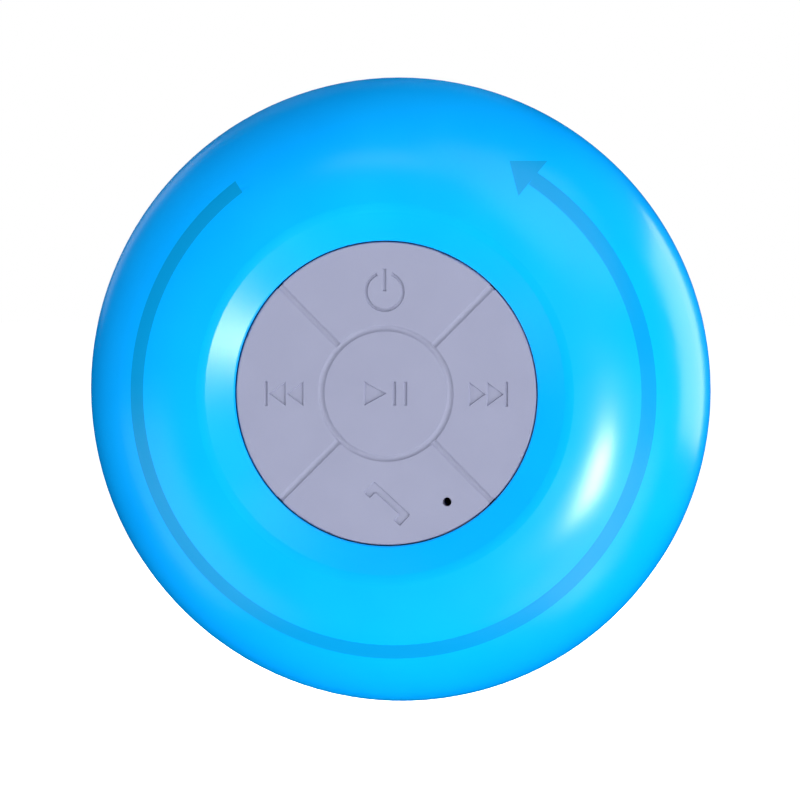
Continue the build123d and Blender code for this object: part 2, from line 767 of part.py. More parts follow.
with BuildPart() as amplifier_chip:
    with BuildSketch(FACE.offset(board_bottom)):
        with Locations((-7, 6)):
            Rectangle(6, 5)
    extrude(amount=-1.5)
    with BuildSketch(FACE.offset(board_bottom)):
        with Locations((-7, 6)):
            with GridLocations(1.27, 6.0, 4, 2):
                Rectangle(0.45, 1.6)
    extrude(amount=-0.4)
save(amplifier_chip, "amplifier_chip")

with BuildPart() as board_capacitors:
    with BuildSketch(FACE.offset(board_bottom)):
        with Locations((2, 8), (-12, -1), (13, -2)):
            Circle(2)
    extrude(amount=-3.2)
    chamfer(board_capacitors.faces().sort_by(Axis.Y)[-3:].edges(), 0.3)
save(board_capacitors, "board_capacitors")

# ---------------------------------------------------------------- loudspeaker

spider_outer = magnet_radius - 1.2
ring_inner = magnet_radius - 2.5

with BuildPart() as driver_gasket:
    with BuildSketch(SECTION):
        add(band(driver_radius - 1.3, driver_radius, seat, flange_bottom))
    revolve(axis=Axis.Y)
save(driver_gasket, "driver_gasket")

with BuildPart() as driver_frame:
    # a pressed basket: a flange, a conical side and a ring that carries the magnet
    with BuildSketch(SECTION):
        with BuildLine():
            Polyline(
                (driver_radius - 2.5, flange_bottom), (driver_radius, flange_bottom),
                (driver_radius, flange_top), (driver_radius - 1.4, flange_top),
                (magnet_radius - 0.7, plate_bottom), (ring_inner, plate_bottom),
                (ring_inner, plate_bottom - 0.7), (magnet_radius - 1.1, plate_bottom - 0.7),
                (driver_radius - 2.5, flange_bottom + 0.6),
                close=True,
            )
        make_face()
    revolve(axis=Axis.Y)
    with BuildSketch(FACE.offset(flange_bottom)):
        with PolarLocations(driver_screw_circle, 3, start_angle=30):
            Circle(2.4)
        with PolarLocations(driver_screw_circle - 2, 3, start_angle=30):
            Rectangle(3.5, 4.8)
        Circle(driver_radius - 1, mode=Mode.SUBTRACT)
        with PolarLocations(driver_screw_circle, 3, start_angle=30):
            Circle(small_screw_radius + 0.15, mode=Mode.SUBTRACT)
    extrude(amount=driver_lip)
    # four windows let the cone breathe
    with BuildSketch(FACE.offset(flange_top + 0.6)):
        for middle in (0, 90, 180, 270):
            add(sector(driver_radius, middle, 58))
        Circle(magnet_radius, mode=Mode.SUBTRACT)
    extrude(amount=3.0, mode=Mode.SUBTRACT)
save(driver_frame, "driver_frame")

with BuildPart() as driver_screws:
    # these face the other way: their heads lie on the flange, towards the keys
    with Locations(Plane(origin=(0, -flange_top, 0), x_dir=(1, 0, 0), z_dir=(0, 1, 0))):
        with PolarLocations(driver_screw_circle, 3, start_angle=-30):
            add(small_screw)
save(driver_screws, "driver_screws")

with BuildPart() as driver_top_plate:
    with BuildSketch(SECTION):
        add(band(coil_radius + 0.55, magnet_radius - 1.5, plate_bottom, magnet_bottom))
    revolve(axis=Axis.Y)
save(driver_top_plate, "driver_top_plate")

with BuildPart() as driver_magnet:
    with BuildSketch(SECTION):
        add(band(coil_radius + 2, magnet_radius, magnet_bottom, yoke_bottom))
    revolve(axis=Axis.Y)
    chamfer(driver_magnet.edges().filter_by(GeomType.CIRCLE).filter_by(
        lambda e: e.radius > magnet_radius - 0.1), 0.3)
save(driver_magnet, "driver_magnet")

with BuildPart() as driver_yoke:
    with BuildSketch(SECTION):
        add(band(0, magnet_radius - 1.5, yoke_bottom, yoke_top))
        add(band(0, coil_radius - 0.55, plate_bottom, yoke_bottom))
    revolve(axis=Axis.Y)
    chamfer(driver_yoke.edges().sort_by(Axis.Y)[0], 0.6)
save(driver_yoke, "driver_yoke")

former_bottom = flange_top + 2.6
former_top = yoke_bottom - 2.0

with BuildPart() as coil_former:
    with BuildSketch(SECTION):
        add(band(coil_radius - 0.15, coil_radius, former_bottom, former_top))
    revolve(axis=Axis.Y)
save(coil_former, "coil_former")

with BuildPart() as coil_winding:
    with BuildSketch(SECTION):
        add(band(coil_radius, coil_radius + 0.3, plate_bottom - 0.2, former_top - 0.3))
    revolve(axis=Axis.Y)
save(coil_winding, "coil_winding")

neck_top = plate_bottom - 1.3
cone_rim = magnet_radius - 0.2

with BuildPart() as speaker_cone:
    with BuildSketch(SECTION):
        with BuildLine():
            Polyline(
                (coil_radius, neck_top), (coil_radius, neck_top - 0.4), (cone_rim, flange_bottom),
                (cone_rim + 0.65, flange_bottom), (cone_rim + 0.65, flange_bottom + cone_thickness),
                (cone_rim, flange_bottom + cone_thickness), close=True,
            )
        make_face()
    revolve(axis=Axis.Y)
save(speaker_cone, "speaker_cone")

cap_edge = coil_radius + 1.15
cap_slope = (neck_top - 0.4 - flange_bottom) / (cone_rim - coil_radius)
cap_rim_height = neck_top - 0.4 - cap_slope * (cap_edge - coil_radius) - 0.35

with BuildPart() as dust_cap:
    with BuildSketch(SECTION):
        with BuildLine():
            dome_line = ThreePointArc(
                (-cap_edge, cap_rim_height), (0, cap_rim_height - 2.15), (cap_edge, cap_rim_height))
            Line(dome_line @ 1, (cap_edge, cap_rim_height + 0.3))
            ThreePointArc((cap_edge, cap_rim_height + 0.3), (0, cap_rim_height - 1.85),
                          (-cap_edge, cap_rim_height + 0.3))
            Line((-cap_edge, cap_rim_height + 0.3), dome_line @ 0)
        make_face()
        with Locations((0, cap_rim_height - 3)):
            Rectangle(cap_edge + 1, 5, align=LOW, mode=Mode.INTERSECT)
    revolve(axis=Axis.Y)
save(dust_cap, "dust_cap")

roll_middle = (cone_rim + 0.65 + driver_radius - 2.5) / 2
roll_radius = (driver_radius - 2.5 - cone_rim - 0.65) / 2 + 0.15

with BuildPart() as cone_surround:
    # a rubber half roll between the cone's lip and the frame's flange
    with BuildSketch(SECTION):
        with Locations((roll_middle, flange_bottom - 0.15)):
            Circle(roll_radius)
            Circle(roll_radius - 0.3, mode=Mode.SUBTRACT)
        with Locations((0, flange_bottom - 0.15)):
            Rectangle(driver_radius, 5, align=LOW, mode=Mode.SUBTRACT)
        add(band(cone_rim, roll_middle - roll_radius + 0.3, flange_bottom - 0.3, flange_bottom))
        add(band(roll_middle + roll_radius - 0.3, driver_radius - 1.5, flange_bottom - 0.3, flange_bottom))
    revolve(axis=Axis.Y)
save(cone_surround, "cone_surround")

spider_height = plate_bottom - 0.9
wave_start = coil_radius + 0.9
wave = (spider_outer - 1.1 - wave_start) / 3

with BuildPart() as coil_spider:
    # a corrugated fabric ring that centres the coil
    with BuildSketch(SECTION):
        add(band(coil_radius, wave_start, spider_height - 0.1, spider_height + 0.1))
        with BuildLine():
            ridges = [(wave_start + i * wave / 2, spider_height + (0.25 if i % 2 else -0.25)) for i in range(7)]
            Polyline(*ridges, *[(x, y + 0.2) for x, y in reversed(ridges)], close=True)
        make_face()
        add(band(wave_start + 3 * wave - 0.05, spider_outer, spider_height - 0.1, spider_height + 0.2))
    revolve(axis=Axis.Y)
save(coil_spider, "coil_spider")

terminal_x = -driver_radius - 1.4

with BuildPart() as driver_terminals:
    with BuildSketch(FACE.offset(flange_top)):
        with Locations((terminal_x + 0.3, 0)):
            Rectangle(4.2, 6)
    extrude(amount=0.8)
    with BuildSketch(FACE.offset(flange_top + 0.8)):
        with Locations((terminal_x, 1.4), (terminal_x, -1.4)):
            Rectangle(2.4, 1.2)
    extrude(amount=0.4)
save(driver_terminals, "driver_terminals")

# ---------------------------------------------------------------- battery, charging and the leads

with BuildPart() as battery:
    with BuildSketch(FACE.offset(battery_bottom)):
        with Locations((0, battery_middle)):
            Rectangle(battery_width, battery_thickness)
    extrude(amount=battery_height)
    fillet(battery.edges().filter_by(Axis.X), 1.2)
save(battery, "battery")

with BuildPart() as battery_pad:
    with BuildSketch(FACE.offset(battery_bottom - 0.5)):
        with Locations((0, battery_middle)):
            Rectangle(battery_width - 2, battery_thickness - 1)
    extrude(amount=0.5)
save(battery_pad, "battery_pad")

socket_height = 3.0
socket_bottom = board_bottom - socket_height
battery_socket_z = battery_inner - 6.0
wire_radius = 0.5
wire_spacing = 2.0

with BuildPart() as battery_socket:
    with BuildSketch(FACE.offset(board_bottom)):
        with Locations((8, battery_socket_z)):
            RectangleRounded(6.0, 4.2, 0.3)
    extrude(amount=-socket_height)
save(battery_socket, "battery_socket")

speaker_socket_x = terminal_x + 3.4

with BuildPart() as speaker_socket:
    with BuildSketch(FACE.offset(board_bottom)):
        with Locations((speaker_socket_x, 0)):
            RectangleRounded(4.2, 6.0, 0.3)
    extrude(amount=-socket_height)
save(speaker_socket, "speaker_socket")


def battery_lead(x):
    """A lead in an upright plane, from the battery's inner face up into its socket."""
    with BuildPart() as wire:
        with BuildLine(UPRIGHT.offset(x)) as path:
            FilletPolyline(
                (battery_inner, battery_top - 6), (battery_socket_z, battery_top - 6),
                (battery_socket_z, socket_bottom), radius=2.5,
            )
        with BuildSketch(Plane(path.line @ 0, z_dir=path.line % 0)):
            Circle(wire_radius)
        sweep()
    return wire


battery_lead_red = battery_lead(8 + wire_spacing / 2)
save(battery_lead_red, "battery_lead_red")
battery_lead_black = battery_lead(8 - wire_spacing / 2)
save(battery_lead_black, "battery_lead_black")


def speaker_lead(z):
    """A lead in a level plane, from the loudspeaker's terminal up into its socket."""
    with BuildPart() as wire:
        with BuildLine(SECTION.offset(-z)) as path:
            FilletPolyline(
                (terminal_x, flange_top + 1.2), (terminal_x, flange_top + 6),
                (speaker_socket_x, yoke_top - 3.5), (speaker_socket_x, socket_bottom), radius=2.5,
            )
        with BuildSketch(Plane(path.line @ 0, z_dir=path.line % 0)):
            Circle(wire_radius)
        sweep()
    return wire


speaker_lead_red = speaker_lead(1.4)
save(speaker_lead_red, "speaker_lead_red")
speaker_lead_black = speaker_lead(-1.4)
save(speaker_lead_black, "speaker_lead_black")

port_mouth = charge_board_outer + 0.8
port_depth = 5.2

with BuildPart() as charge_board:
    with BuildSketch(FACE.offset(charge_board_bottom)):
        with Locations((0, -charge_board_inner)):
            Rectangle(charge_board_width, charge_board_length, align=(Align.CENTER, Align.MAX))
        with Locations(*charge_screws):
            Circle(charge_screw_radius + 0.15, mode=Mode.SUBTRACT)
    extrude(amount=charge_board_thickness)
save(charge_board, "charge_board")

with BuildPart() as charge_board_screws:
    with Locations(Plane(origin=(0, -charge_board_top, 0), x_dir=(1, 0, 0), z_dir=(0, 1, 0))):
        with Locations(*[(x, -z) for x, z in charge_screws]):
            add(screw(charge_screw_radius, small_screw_length, 1.5, 0.9))
save(charge_board_screws, "charge_board_screws")

with BuildPart() as charge_port:
    # a metal shell with a contact tongue inside
    with BuildSketch(SECTION.offset(port_mouth)):
        with Locations((0, charge_board_top + 1.35)):
            RectangleRounded(7.5, 2.7, 0.9)
    extrude(amount=-port_depth)
    with BuildSketch(SECTION.offset(port_mouth)):
        with Locations((0, charge_board_top + 1.35)):
            RectangleRounded(6.9, 2.1, 0.7)
            Rectangle(4.6, 0.6, mode=Mode.SUBTRACT)
    extrude(amount=-(port_depth - 0.8), mode=Mode.SUBTRACT)
save(charge_port, "charge_port")

with BuildPart() as charge_led:
    with BuildSketch(SECTION.offset(charge_board_outer)):
        with Locations((-4.9, charge_board_top + 0.4)):
            Rectangle(1.2, 0.8)
    extrude(amount=-1.6)
save(charge_led, "charge_led")

ribbon_z = -charge_board_inner - 3.4
ribbon_end = 3 - board_radius

with BuildPart() as charge_ribbon:
    # a flat flexible cable, bent once over, from the charging board up to the main board
    with BuildSketch(UPRIGHT.offset(-2.5)):
        with BuildLine():
            bend = FilletPolyline(
                (ribbon_z, charge_board_top), (ribbon_z, board_bottom - 7), (ribbon_end, board_bottom - 4),
                (ribbon_end, board_bottom), radius=1.5,
            )
            offset(bend, amount=0.15, side=Side.BOTH)
        make_face()
        with Locations((ribbon_z, charge_board_top)):
            Rectangle(
                30, board_bottom - charge_board_top, align=(Align.CENTER, Align.MIN), mode=Mode.INTERSECT)
    extrude(amount=5)
save(charge_ribbon, "charge_ribbon")

# ---------------------------------------------------------------- plug

with BuildPart() as plug_flange:
    with BuildSketch(SECTION):
        add(shell_section(0, back_height + 4, parting))
        add(shell_section(plug_recess - 0.2, back_height + 4, parting), mode=Mode.SUBTRACT)
    revolve(axis=Axis.Y)
    with BuildSketch(SECTION.offset(port_wall / 2)):
        add(plug_outline(0))
    extrude(amount=port_wall, mode=Mode.INTERSECT)

with BuildPart() as port_plug:
    # a block that fills the opening, hollow inside, and a tether that holds the plug by its barb
    plug_foot = port_wall - wall - 1.6
    with BuildSketch(SECTION.offset(plug_foot)):
        with Locations((0, port_height)):
            RectangleRounded(opening_width - 0.4, opening_height - 0.4, 1.0)
    extrude(amount=wall + 1.6)
    with BuildSketch(SECTION.offset(plug_foot)):
        with Locations((0, port_height)):
            RectangleRounded(opening_width - 2.4, opening_height - 2.4, 0.5)
    extrude(amount=1.2, mode=Mode.SUBTRACT)
    with BuildSketch(SECTION.offset(port_wall - tether_length)):
        with Locations((tether_x, port_height)):
            Circle(tether_radius)
    extrude(amount=tether_length)
    with BuildSketch(SECTION):
        add(shell_section(0.6, back_height + 4, parting))
    revolve(axis=Axis.Y, mode=Mode.INTERSECT)
    # the flange lies flush with the bowl
    add(plug_flange.part)
    with BuildSketch(SECTION.offset(port_wall - tether_length)):
        with Locations((tether_x, port_height)):
            Circle(barb_radius)
    extrude(amount=barb_length)
save(port_plug, "port_plug")
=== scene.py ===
# %% [markdown]
# # A shower speaker, finished in Blender
#
# The speaker is about as big as a bun: two sky-blue plastic shells, a grey silicone keypad sunk in a
# funnel at the front, and a suction cup behind. Its parts come in ready made and in place. This lesson
# gives each one the finish it has on the real object, and adds the soft and small pieces that a drawing
# of the parts leaves out.
#
# ## Loading the parts
#
# Every part arrives as its own object at the origin, with its place in its mesh, in metres. +Y points
# into the wall, the keys face -Y and +Z is up.

# %% Load the parts
import json
from math import cos, pi, radians, sin

import bpy
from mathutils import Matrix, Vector


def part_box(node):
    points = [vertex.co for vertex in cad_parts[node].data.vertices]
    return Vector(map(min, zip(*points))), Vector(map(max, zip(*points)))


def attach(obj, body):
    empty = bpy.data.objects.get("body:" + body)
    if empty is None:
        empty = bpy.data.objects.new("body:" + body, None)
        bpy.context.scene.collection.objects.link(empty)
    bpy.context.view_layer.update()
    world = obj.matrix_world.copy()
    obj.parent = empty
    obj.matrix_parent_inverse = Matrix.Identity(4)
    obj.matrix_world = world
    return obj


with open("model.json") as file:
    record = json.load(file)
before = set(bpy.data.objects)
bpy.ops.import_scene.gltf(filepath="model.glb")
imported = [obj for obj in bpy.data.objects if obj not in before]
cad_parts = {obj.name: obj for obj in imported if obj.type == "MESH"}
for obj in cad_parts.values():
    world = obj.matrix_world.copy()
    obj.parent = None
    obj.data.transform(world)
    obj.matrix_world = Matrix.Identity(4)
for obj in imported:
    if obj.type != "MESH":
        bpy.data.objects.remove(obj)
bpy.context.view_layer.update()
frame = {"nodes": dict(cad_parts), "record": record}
parts = frame["nodes"]
MM = 0.001

# %% [markdown]
# ## The camera
#
# The speaker is seen from a metre away with a long lens, a little from the right and a touch from above.
# The camera looks at a point near the middle of the widest circle. Its three directions are kept, because
# the lamps are placed by how far they stand to the side of it.

# %% Camera
WIDEST = Vector((0, -40.4 * MM, 0))
VIEW_SIDE, VIEW_UP, VIEW_DISTANCE = radians(8.1), radians(2.4), 1.0
LONG_LENS = 326.5           # focal length in millimetres
LOOK_DOWN, LOOK_ASIDE = 1.42 * MM, 0.1 * MM

backwards = Vector((sin(VIEW_SIDE) * cos(VIEW_UP), -cos(VIEW_SIDE) * cos(VIEW_UP), sin(VIEW_UP)))
rightwards = Vector((cos(VIEW_SIDE), sin(VIEW_SIDE), 0))
upwards = backwards.cross(rightwards)
looked_at = WIDEST - upwards * LOOK_DOWN + rightwards * LOOK_ASIDE

camera_data = bpy.data.cameras.new("camera")
camera = bpy.data.objects.new("camera", camera_data)
bpy.context.scene.collection.objects.link(camera)
bpy.context.scene.camera = camera
camera.location = looked_at + backwards * VIEW_DISTANCE
camera.rotation_euler = backwards.to_track_quat("Z", "Y").to_euler()
camera_data.sensor_width = 36
camera_data.lens = LONG_LENS
camera_data.clip_start = 0.01

print("camera at", [round(v, 3) for v in camera.location])

# %% [markdown]
# ## The lamps
#
# Glossy plastic shows its lamps as bright patches, so a lamp does one of two jobs here. Broad softboxes
# give the colour its light and shade, mostly from the lower right, and are kept out of reflections. The
# others give the gloss: a small hard one low on the right for the streak on the crest and the glint
# across the funnel, a broad one far round to the right for the pale band down that side, and faint ones
# below, above and behind.

# %% Lamps
def direction(side, up):
    """Where something stands as seen from the speaker: degrees to the right of the camera, and above it."""
    side, up = radians(side), radians(up)
    return rightwards * sin(side) * cos(up) + upwards * sin(up) + backwards * cos(side) * cos(up)


def lamp(name, side, up, width, height, watts, reflected, distance=1.4):
    """A rectangular lamp that faces the speaker, seen in its gloss or kept out of it."""
    lamp_data = bpy.data.lights.new(name, "AREA")
    lamp_data.shape = "RECTANGLE"
    lamp_data.size, lamp_data.size_y = width, height
    lamp_data.energy = watts
    placed = bpy.data.objects.new(name, lamp_data)
    bpy.context.scene.collection.objects.link(placed)
    placed.location = WIDEST + direction(side, up) * distance
    placed.rotation_euler = direction(side, up).to_track_quat("Z", "Y").to_euler()
    placed.visible_glossy = reflected


lamp("main_softbox", 45, -35, 1.4, 1.4, 34.5, reflected=False, distance=2.0)
lamp("upper_softbox", 22, 35, 1.4, 1.4, 28.0, reflected=False, distance=2.0)
lamp("left_softbox", -70, -28, 1.4, 1.4, 30.0, reflected=False, distance=2.0)
lamp("right_softbox", 106, 10, 1.2, 1.1, 12.5, reflected=True)
lamp("back_softbox", 190, 25, 1.0, 1.0, 22.0, reflected=False)
lamp("key_spot", 20.5, -17.5, 0.23, 0.27, 8.4, reflected=True)
lamp("low_glow", 57, -51, 0.35, 0.35, 0.31, reflected=True)
lamp("top_glow", -19, 38, 0.4, 0.2, 0.25, reflected=True)
lamp("back_glow", 215, 20, 0.4, 0.6, 0.35, reflected=True)
print(len(bpy.data.lights), "lamps")

# %% [markdown]
# ## The room
#
# The room is white to the camera and dim as a source of light, and it stays out of reflections, as in a
# studio hung with black cloth beside a white sweep. Light Path tells the camera's rays from the rest. The
# floor is a wide white sheet below the speaker that glows, so that no shadow or horizon draws the eye.

# %% Room
ROOM_GREY = 0.14
FLOOR_SIZE, FLOOR_HEIGHT = 8, -0.12
bpy.context.scene.view_settings.view_transform = "Standard"
world = bpy.data.worlds.new("studio")
bpy.context.scene.world = world
world.use_nodes = True
world.cycles_visibility.glossy = False
room = world.node_tree
ray = room.nodes.new("ShaderNodeLightPath")
dim, white = room.nodes["Background"], room.nodes.new("ShaderNodeBackground")
dim.inputs["Color"].default_value = (ROOM_GREY, ROOM_GREY, ROOM_GREY, 1)
white.inputs["Color"].default_value = (1, 1, 1, 1)
chosen = room.nodes.new("ShaderNodeMixShader")
room.links.new(ray.outputs["Is Camera Ray"], chosen.inputs[0])
room.links.new(dim.outputs[0], chosen.inputs[1])
room.links.new(white.outputs[0], chosen.inputs[2])
room.links.new(chosen.outputs[0], room.nodes["World Output"].inputs[0])

bpy.ops.object.select_all(action="DESELECT")
bpy.ops.mesh.primitive_plane_add(size=FLOOR_SIZE, location=(0, 0, FLOOR_HEIGHT))
floor = bpy.context.object
floor.name = "floor"
floor.visible_diffuse = floor.visible_glossy = floor.visible_shadow = False

# %% [markdown]
# ## Helpers for finishes
#
# Colours are written as the eye names them, in sRGB, and one function turns them to the linear values
# that shaders use. Another adds a node with its settings and its links. A pattern's scale comes from a
# size in millimetres: repeats(0.5) is the scale at which a noise or a brick repeats about every half
# millimetre.

# %% Colour, nodes and new finishes
def srgb(code):
    """A hex colour turned to the linear values that shaders use."""
    channels = [int(code[i:i + 2], 16) / 255 for i in (1, 3, 5)]
    return (*[c / 12.92 if c <= 0.04045 else ((c + 0.055) / 1.055) ** 2.4 for c in channels], 1.0)


def repeats(millimetres):
    """The scale of a pattern whose features are that far apart."""
    return 1 / (millimetres * MM)


def plug_in(finish, node, inputs):
    """Sets a node's inputs: an output is linked, anything else is a value."""
    for name, value in inputs.items():
        if isinstance(value, bpy.types.NodeSocket):
            finish.node_tree.links.new(value, node.inputs[name])
        else:
            node.inputs[name].default_value = value


def add(finish, kind, inputs, **settings):
    """Adds a node to a finish, with its settings and its inputs."""
    node = finish.node_tree.nodes.new(kind)
    for name, value in settings.items():
        setattr(node, name, value)
    plug_in(finish, node, inputs)
    return node


def new_finish(name, inputs):
    """A finish with nothing but its shader's own values."""
    finish = bpy.data.materials.new(name)
    finish.use_nodes = True
    plug_in(finish, finish.node_tree.nodes["Principled BSDF"], inputs)
    return finish


def place(finish):
    """Where a point is on the part, in metres."""
    return add(finish, "ShaderNodeTexCoord", {}).outputs["Object"]


def shade(finish, inputs):
    """Sets the finish's own shader."""
    plug_in(finish, finish.node_tree.nodes["Principled BSDF"], inputs)


def drift(finish, size, low, high):
    """A value that wanders slowly between two limits over patches of that size."""
    cloud = add(finish, "ShaderNodeTexNoise", {
        "Vector": place(finish), "Scale": repeats(size), "Detail": 2.0})
    return add(finish, "ShaderNodeMapRange", {
        "Value": cloud.outputs[0], "From Min": 0.3, "From Max": 0.7, "To Min": low, "To Max": high,
    }).outputs[0]


def ramp(finish, value, first, second, start=0.0, end=1.0):
    """A colour that goes from one to another as a value goes from start to end."""
    node = add(finish, "ShaderNodeValToRGB", {"Fac": value})
    for stop, colour, position in zip(node.color_ramp.elements, (first, second), (start, end)):
        stop.color, stop.position = srgb(colour), position
    return node.outputs["Color"]


def tint(finish, size, first, second):
    """A colour that wanders slowly between two over patches of that size."""
    cloud = add(finish, "ShaderNodeTexNoise", {
        "Vector": place(finish), "Scale": repeats(size), "Detail": 3.0})
    return ramp(finish, cloud.outputs[0], first, second, 0.35, 0.65)


def relief(finish, height, depth, **settings):
    """A bumpy surface whose height is a pattern, with its depth in millimetres."""
    return add(finish, "ShaderNodeBump", {"Height": height, "Distance": depth * MM}, **settings).outputs[0]


def grain(finish, size, depth, detail=2.0):
    """A bumpy surface with features of that size and depth in millimetres."""
    bumps = add(finish, "ShaderNodeTexNoise", {
        "Vector": place(finish), "Scale": repeats(size), "Detail": detail})
    return relief(finish, bumps.outputs[0], depth)


finishes = {}

# %% [markdown]
# ## The shells: ABS
#
# Both shells are ABS, injection moulded in a polished tool and coloured right through. It is a hard,
# shiny plastic of a clean sky blue. Up close it is never perfectly flat: the skin has a very shallow
# ripple, like orange peel, that makes a reflection's edge waver. The colour and the gloss drift a little
# over a few centimetres, where the plastic flowed and cooled. The ripple is a noise of about 4 mm and a
# few thousandths of a millimetre deep.

# %% ABS for the shells
shells = new_finish("sky_blue_abs", {"IOR": 1.53})
shade(shells, {
    "Base Color": tint(shells, 26, "#009ffa", "#00a6ff"),
    "Roughness": drift(shells, 14, 0.20, 0.26),
    "Normal": grain(shells, 4.0, 0.004),
})
finishes["shell"] = shells

# %% [markdown]
# ## The arrow: a moulded inlay
#
# The round arrow is the same plastic in a deeper blue, flush with the dome. Its surface is a little less
# polished, so it keeps more of the light and looks calmer than the shell round it.

# %% ABS for the arrow
arrow = new_finish("deep_blue_abs", {"IOR": 1.53})
shade(arrow, {
    "Base Color": tint(arrow, 18, "#008cca", "#008ecc"),
    "Roughness": drift(arrow, 9, 0.22, 0.265),
    "Normal": grain(arrow, 0.6, 0.003),
})
finishes["arrow_print"] = arrow

# %% [markdown]
# ## Keypad, plug and cup: silicone rubber
#
# The keypad is compression-moulded silicone, in a cool grey with a touch of violet. The tool was blasted
# with fine grit, so the keys look matt and dry. The real grain is about a tenth of a millimetre, and it
# is drawn nearly twice as coarse so that it shows. The same rubber closes the charging port. Rubber this
# soft lets a little light in below its surface, which softens every small shadow.
#
# The suction cup has to seal, so its tool was polished: the same grey, but glossy and more see-through at
# the rim.

# %% Silicone for the keypad and the plug
keypad = new_finish("matt_silicone", {
    "IOR": 1.41, "Subsurface Weight": 0.12,
    "Subsurface Scale": 0.6 * MM, "Subsurface Radius": (1.0, 0.9, 1.1),
})
shade(keypad, {
    "Base Color": tint(keypad, 7, "#8689a0", "#888ba2"),
    "Roughness": drift(keypad, 5, 0.52, 0.62),
    "Normal": grain(keypad, 0.18, 0.006, detail=4.0),
})
finishes["keypad"] = keypad

# %% Silicone for the suction cup
cup = new_finish("polished_silicone", {
    "IOR": 1.41, "Coat Weight": 0.3, "Coat Roughness": 0.12, "Subsurface Weight": 0.35,
    "Subsurface Scale": 2.0 * MM, "Subsurface Radius": (1.0, 0.95, 1.1),
})
shade(cup, {
    "Base Color": tint(cup, 30, "#9498b0", "#989cb4"),
    "Roughness": drift(cup, 12, 0.29, 0.36),
    "Normal": grain(cup, 2.5, 0.006),
})
finishes["cup"] = cup

# %% [markdown]
# ## Plain moulded plastics and rubbers
#
# The stud, the sockets, the chips and the seals are plain mouldings. They differ in colour, in gloss and
# in how coarse the tool's skin is, so one function makes them all: its colour drifts between two close
# shades, its gloss wanders round its middle value, and its grain has a size and a depth in millimetres.

# %% Mouldings
def moulding(name, first, second, roughness, size, depth, ior=1.5):
    """A moulded plastic or rubber, with the skin that its tool left."""
    finish = new_finish(name, {"IOR": ior})
    shade(finish, {
        "Base Color": tint(finish, 3, first, second),
        "Roughness": drift(finish, 2, roughness - 0.05, roughness + 0.06),
        "Normal": grain(finish, size, depth, detail=3.0),
    })
    return finish


finishes["stud"] = moulding("natural_acetal", "#d9dade", "#e1e2e4", 0.35, 0.8, 0.004)
finishes["seal"] = moulding("nitrile_rubber", "#232427", "#2b2c30", 0.62, 0.12, 0.006)
finishes["surround_rubber"] = moulding("butyl_rubber", "#18181a", "#202023", 0.48, 0.2, 0.005)
finishes["plunger_black"] = moulding("black_nylon", "#19191b", "#202022", 0.42, 0.25, 0.004)
finishes["chip_black"] = moulding("moulded_epoxy", "#1d1e21", "#26282b", 0.58, 0.08, 0.006)
finishes["connector_white"] = moulding("ivory_nylon", "#ddd8c6", "#e6e2d4", 0.46, 0.3, 0.004)
finishes["lead_red"] = moulding("red_pvc", "#b3161c", "#c02026", 0.38, 0.5, 0.004)
finishes["lead_black"] = moulding("black_pvc", "#161618", "#1e1e20", 0.38, 0.5, 0.004)
finishes["frame_black"] = moulding("black_enamel", "#17181a", "#1f2023", 0.34, 0.35, 0.006)
finishes["terminal"] = moulding("phenolic_board", "#6d4423", "#7b5230", 0.55, 0.25, 0.008)
print(len(finishes), "finishes so far")

# %% [markdown]
# ## Metals
#
# The screws, switch covers, shields, magnet plates and the port's shell are steel with a thin bright
# plating. A plated part mirrors the room, but it was pressed or turned first, and the plating keeps those
# fine marks: the gloss changes in small clouds, and a very shallow grain breaks up the reflection.

# %% Plated metals
def plated(name, first, second, roughness, size, depth):
    """Steel or brass under a thin bright plating."""
    finish = new_finish(name, {"Metallic": 1.0})
    shade(finish, {
        "Base Color": tint(finish, 2.5, first, second),
        "Roughness": drift(finish, 1.2, roughness - 0.07, roughness + 0.09),
        "Normal": grain(finish, size, depth, detail=4.0),
    })
    return finish


finishes["screws"] = plated("zinc_plated_steel", "#aeb1b5", "#c1c3c2", 0.36, 0.15, 0.004)
finishes["plated_steel"] = plated("bright_zinc_steel", "#b3b7bd", "#c4c7c9", 0.36, 0.4, 0.005)
finishes["switch_metal"] = plated("tinned_cover", "#b9babb", "#c6c6c4", 0.37, 0.3, 0.003)
finishes["shield_can"] = plated("tinned_shield", "#bfc0bf", "#cbcbc8", 0.36, 0.5, 0.003)
finishes["port_metal"] = plated("nickel_plated_steel", "#c4beb2", "#d0cbc0", 0.18, 0.3, 0.002)

# %% [markdown]
# ## Woven wire behind the slots
#
# The mesh is plain-woven stainless wire. Real wire cloth for a loudspeaker has about five wires to the
# millimetre, too fine to show, so it is drawn at two. Two wave patterns at right angles give the two sets
# of wires: where either is high there is wire, and where both are low the hole is painted near-black, a
# painted shade for the dark inside seen through it. Their larger value is also the relief. A wave's own
# scale counts twenty radians to the unit, which is what waves() allows for.

# %% Wire mesh
def waves(millimetres):
    """The scale of a wave pattern whose crests are that far apart."""
    return 2 * pi / (20 * millimetres * MM)


def crossed(finish, spacing, distortion=0.0):
    """Two sets of threads at right angles, in X and in Z: the larger height of the two."""
    pattern = {
        "Vector": place(finish), "Scale": waves(spacing), "Distortion": distortion,
        "Detail Scale": repeats(2)}
    threads = [add(finish, "ShaderNodeTexWave", pattern, bands_direction=way).outputs["Fac"]
               for way in ("X", "Z")]
    return add(finish, "ShaderNodeMath", {0: threads[0], 1: threads[1]}, operation="MAXIMUM").outputs[0]


